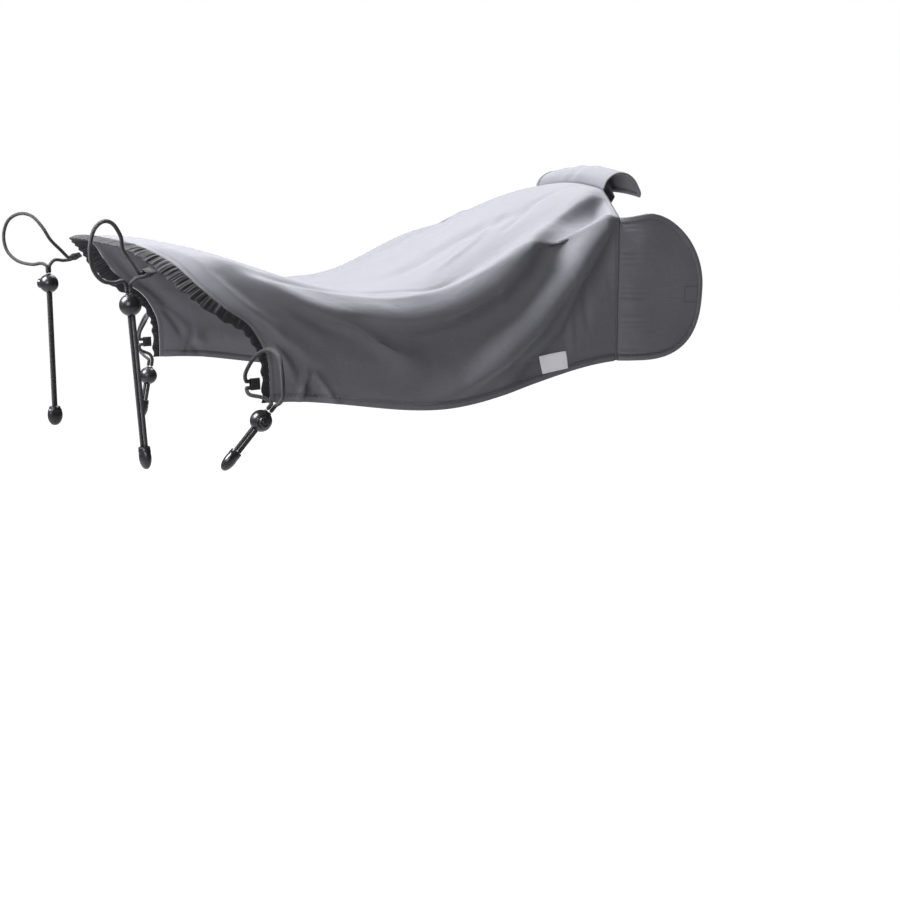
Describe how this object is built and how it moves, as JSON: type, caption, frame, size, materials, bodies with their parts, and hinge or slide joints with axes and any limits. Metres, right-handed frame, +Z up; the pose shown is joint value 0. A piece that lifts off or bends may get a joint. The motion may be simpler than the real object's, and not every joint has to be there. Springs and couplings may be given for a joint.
{
  "type": "pram sun shade",
  "caption": "Cloth sun sail for a pram: three fold-over flaps grip the hood's bow, four elastic cords with ball locks tie it to the handle.",
  "frame": {"origin": "centre of the hood's front bow, under the middle of the top flap", "axes": "+X from the handle to the hood, +Y to the left of someone who pushes the pram, +Z up"},
  "size_m": [0.7179, 0.5413, 0.3154],
  "materials": {
    "grey_cloth": "woven, matt with a faint sheen",
    "black_cloth": "gathered, matt",
    "black_elastic": "braided",
    "black_plastic": "moulded, half gloss",
    "steel": "plain",
    "white_tape": "satin tape"
  },
  "bodies": {
    "shade": {"main_sail": "grey_cloth", "front_casing": "black_cloth", "label": "white_tape", "left_bar_cord_tab": "black_cloth", "left_bar_loop_over": "black_elastic", "left_bar_loop_under": "black_elastic", "right_bar_cord_tab": "black_cloth", "right_bar_loop_over": "black_elastic", "right_bar_loop_under": "black_elastic", "left_tube_cord_tab": "black_cloth", "left_tube_loop_over": "black_elastic", "left_tube_loop_under": "black_elastic", "right_tube_cord_tab": "black_cloth", "right_tube_loop_over": "black_elastic", "right_tube_loop_under": "black_elastic"},
    "top_flap": {"top_flap": "grey_cloth", "top_flap_pocket": "grey_cloth", "top_flap_magnet": "steel"},
    "top_tab": {"top_tab": "grey_cloth", "top_tab_pocket": "grey_cloth", "top_tab_magnet": "steel"},
    "left_side_flap": {"left_side_flap": "grey_cloth", "left_flap_pocket": "grey_cloth", "left_flap_magnet": "steel"},
    "left_side_tab": {"left_side_tab": "grey_cloth", "left_tab_pocket": "grey_cloth", "left_tab_magnet": "steel"},
    "right_side_flap": {"right_side_flap": "grey_cloth", "right_flap_pocket": "grey_cloth", "right_flap_magnet": "steel"},
    "right_side_tab": {"right_side_tab": "grey_cloth", "right_tab_pocket": "grey_cloth", "right_tab_magnet": "steel"},
    "left_bar_tail": {"left_bar_tail_over": "black_elastic", "left_bar_tail_under": "black_elastic", "left_bar_cord_end": "black_plastic"},
    "left_bar_lock": {"left_bar_lock": "black_plastic", "left_bar_spring": "steel"},
    "left_bar_button": {"left_bar_button": "black_plastic"},
    "right_bar_tail": {"right_bar_tail_over": "black_elastic", "right_bar_tail_under": "black_elastic", "right_bar_cord_end": "black_plastic"},
    "right_bar_lock": {"right_bar_lock": "black_plastic", "right_bar_spring": "steel"},
    "right_bar_button": {"right_bar_button": "black_plastic"},
    "left_tube_tail": {"left_tube_tail_over": "black_elastic", "left_tube_tail_under": "black_elastic", "left_tube_cord_end": "black_plastic"},
    "left_tube_lock": {"left_tube_lock": "black_plastic", "left_tube_spring": "steel"},
    "left_tube_button": {"left_tube_button": "black_plastic"},
    "right_tube_tail": {"right_tube_tail_over": "black_elastic", "right_tube_tail_under": "black_elastic", "right_tube_cord_end": "black_plastic"},
    "right_tube_lock": {"right_tube_lock": "black_plastic", "right_tube_spring": "steel"},
    "right_tube_button": {"right_tube_button": "black_plastic"}
  },
  "joints": [
    {"name": "top_flap_hinge", "type": "hinge", "parent": "shade", "child": "top_flap", "pos_m": [-0.0236, 0, 0.0117], "axis": [0, -1, 0], "range_deg": [0, 110]},
    {"name": "top_tab_hinge", "type": "hinge", "parent": "shade", "child": "top_tab", "pos_m": [-0.0246, 0, 0.0092], "axis": [0, 1, 0], "range_deg": [0, 45]},
    {"name": "left_side_flap_hinge", "type": "hinge", "parent": "shade", "child": "left_side_flap", "pos_m": [-0.0596, 0.1831, -0.10775], "axis": [0, 0, 1], "range_deg": [0, 105]},
    {"name": "left_side_tab_hinge", "type": "hinge", "parent": "shade", "child": "left_side_tab", "pos_m": [-0.0592, 0.1807, -0.115], "axis": [0, 0, -1], "range_deg": [0, 60]},
    {"name": "right_side_flap_hinge", "type": "hinge", "parent": "shade", "child": "right_side_flap", "pos_m": [-0.0596, -0.1831, -0.10775], "axis": [0, 0, -1], "range_deg": [0, 105]},
    {"name": "right_side_tab_hinge", "type": "hinge", "parent": "shade", "child": "right_side_tab", "pos_m": [-0.0592, -0.1807, -0.115], "axis": [0, 0, 1], "range_deg": [0, 60]},
    {"name": "left_bar_swing", "type": "hinge", "parent": "shade", "child": "left_bar_tail", "pos_m": [-0.628, 0.17, -0.092], "axis": [-0.7071, -0.7071, 0], "range_deg": [-35, 35]},
    {"name": "left_bar_lock_slide", "type": "slide", "parent": "left_bar_tail", "child": "left_bar_lock", "axis": [0, 0, -1], "range_m": [0, 0.133]},
    {"name": "left_bar_button_press", "type": "slide", "parent": "left_bar_lock", "child": "left_bar_button", "axis": [0.7071, -0.7071, 0], "range_m": [0, 0.0022], "stiffness_N_per_m": 500, "springref_m": -0.003, "deforming": ["left_bar_spring"]},
    {"name": "right_bar_swing", "type": "hinge", "parent": "shade", "child": "right_bar_tail", "pos_m": [-0.61184, -0.17, -0.09303], "axis": [-0.7065, 0.7065, -0.0424], "range_deg": [-35, 35]},
    {"name": "right_bar_lock_slide", "type": "slide", "parent": "right_bar_tail", "child": "right_bar_lock", "axis": [0.0599, 0, -0.9982], "range_m": [0, 0.129]},
    {"name": "right_bar_button_press", "type": "slide", "parent": "right_bar_lock", "child": "right_bar_button", "axis": [-0.7052, -0.7077, -0.0423], "range_m": [0, 0.0022], "stiffness_N_per_m": 500, "springref_m": -0.003, "deforming": ["right_bar_spring"]},
    {"name": "left_tube_swing", "type": "hinge", "parent": "shade", "child": "left_tube_tail", "pos_m": [-0.49375, 0.242, -0.21727], "axis": [-0.9806, 0, 0.1961], "range_deg": [-35, 35]},
    {"name": "left_tube_lock_slide", "type": "slide", "parent": "left_tube_tail", "child": "left_tube_lock", "axis": [-0.1961, 0, -0.9806], "range_m": [0, 0.018]},
    {"name": "left_tube_button_press", "type": "slide", "parent": "left_tube_lock", "child": "left_tube_button", "axis": [0, -1, 0], "range_m": [0, 0.0022], "stiffness_N_per_m": 500, "springref_m": -0.003, "deforming": ["left_tube_spring"]},
    {"name": "right_tube_swing", "type": "hinge", "parent": "shade", "child": "right_tube_tail", "pos_m": [-0.49375, -0.242, -0.20849], "axis": [0.7507, 0, -0.6606], "range_deg": [-35, 35]},
    {"name": "right_tube_lock_slide", "type": "slide", "parent": "right_tube_tail", "child": "right_tube_lock", "axis": [-0.6606, 0, -0.7507], "range_m": [0, 0.025]},
    {"name": "right_tube_button_press", "type": "slide", "parent": "right_tube_lock", "child": "right_tube_button", "axis": [0, 1, 0], "range_m": [0, 0.0022], "stiffness_N_per_m": 500, "springref_m": -0.003, "deforming": ["right_tube_spring"]}
  ]
}
